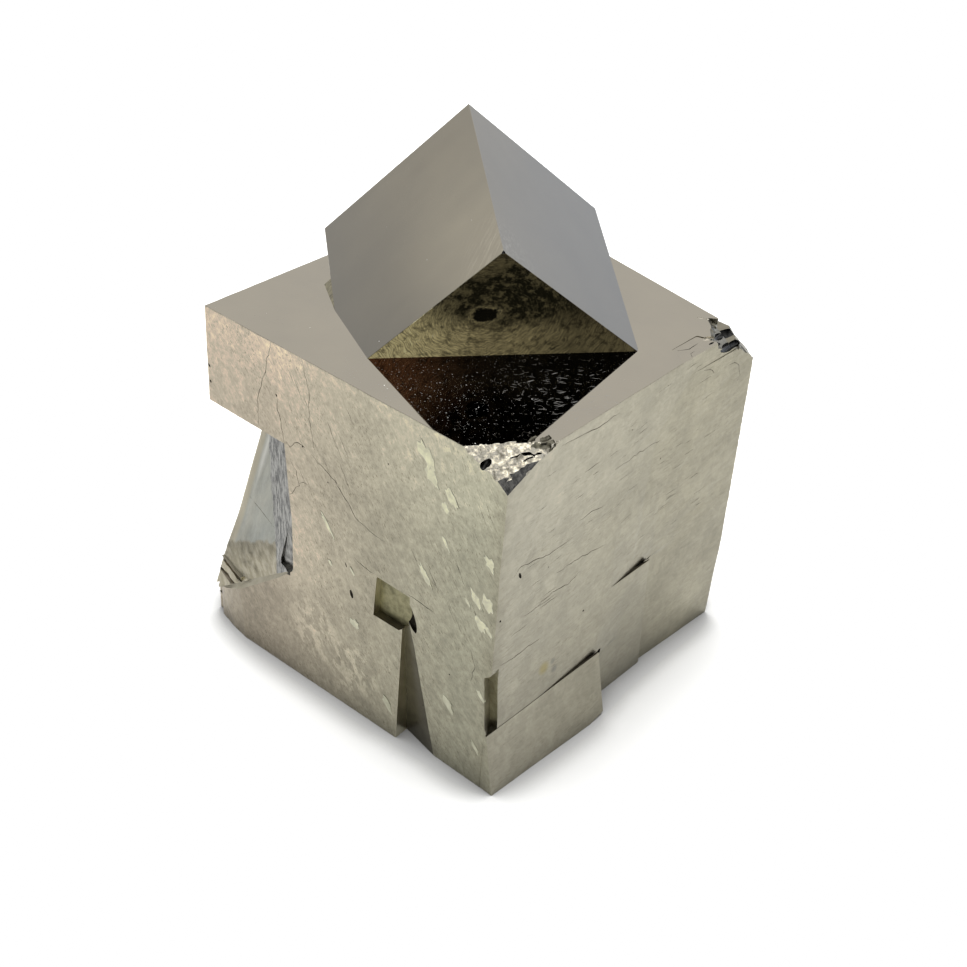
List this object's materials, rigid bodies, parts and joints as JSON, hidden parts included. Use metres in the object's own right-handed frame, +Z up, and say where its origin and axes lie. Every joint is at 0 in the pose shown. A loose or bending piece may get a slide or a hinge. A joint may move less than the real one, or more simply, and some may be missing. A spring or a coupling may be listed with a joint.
{
  "type": "pyrite cube cluster",
  "caption": "Natural pyrite specimen: a large metallic cube with stepped sides and a smaller cube grown through its top, tipped on a corner.",
  "frame": {"origin": "middle of the bounding box's base, on the surface it rests on", "axes": "+Z up; +X and +Y along the large cube's two top edges that run back from its front corner, +X to the right and +Y to the left"},
  "size_m": [0.0434, 0.045, 0.0588],
  "materials": {
    "pyrite": "natural crystal faces, pale brassy grey metal, mirror-like on top and on the small cube, finely striated and tarnished on the sides"
  },
  "bodies": {
    "root": {"pyrite_cluster": "pyrite"}
  },
  "joints": []
}
